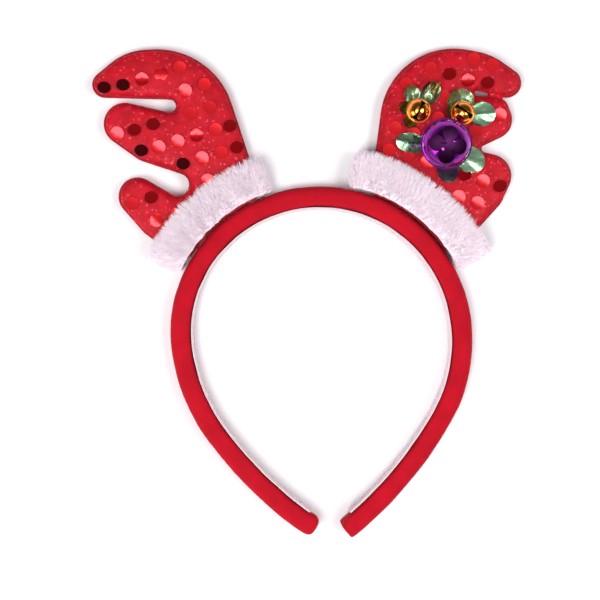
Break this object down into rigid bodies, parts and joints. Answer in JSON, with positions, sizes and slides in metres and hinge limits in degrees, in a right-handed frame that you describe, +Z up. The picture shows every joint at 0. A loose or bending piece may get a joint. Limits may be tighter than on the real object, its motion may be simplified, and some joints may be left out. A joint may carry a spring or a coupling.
{
  "type": "reindeer antler headband with jingle bells",
  "caption": "Padded red hair hoop with two flat padded antlers in white plush cuffs, and foil leaves with jingle bells sewn on one antler.",
  "frame": {"origin": "middle of the base of the whole headband's box, on the surface that it lies on", "axes": "+Y from the hoop's free ends to the antlers' tips, +X to the antler with the bells, +Z up from the surface that the headband lies on"},
  "size_m": [0.1926, 0.219, 0.0354],
  "materials": {
    "red_velvet": "matt short pile with a fine diagonal rib",
    "pale_ribbon": "soft woven ribbon",
    "red_glitter_cloth": "shiny knit with glitter and sewn sequins",
    "white_plush": "deep matt pile",
    "green_foil": "metallised film, mirror bright",
    "purple_plated_metal": "mirror bright tinted plating",
    "gold_plated_metal": "mirror bright plating"
  },
  "bodies": {
    "root": {"hoop_cover": "red_velvet", "hoop_lining": "pale_ribbon", "antler_left": "red_glitter_cloth", "antler_right": "red_glitter_cloth", "cuff_left": "white_plush", "cuff_right": "white_plush", "foil_lower": "green_foil", "foil_upper_right": "green_foil", "foil_upper_left": "green_foil", "bell_purple": "purple_plated_metal", "bell_gold_right": "gold_plated_metal", "bell_gold_left": "gold_plated_metal"}
  },
  "joints": []
}
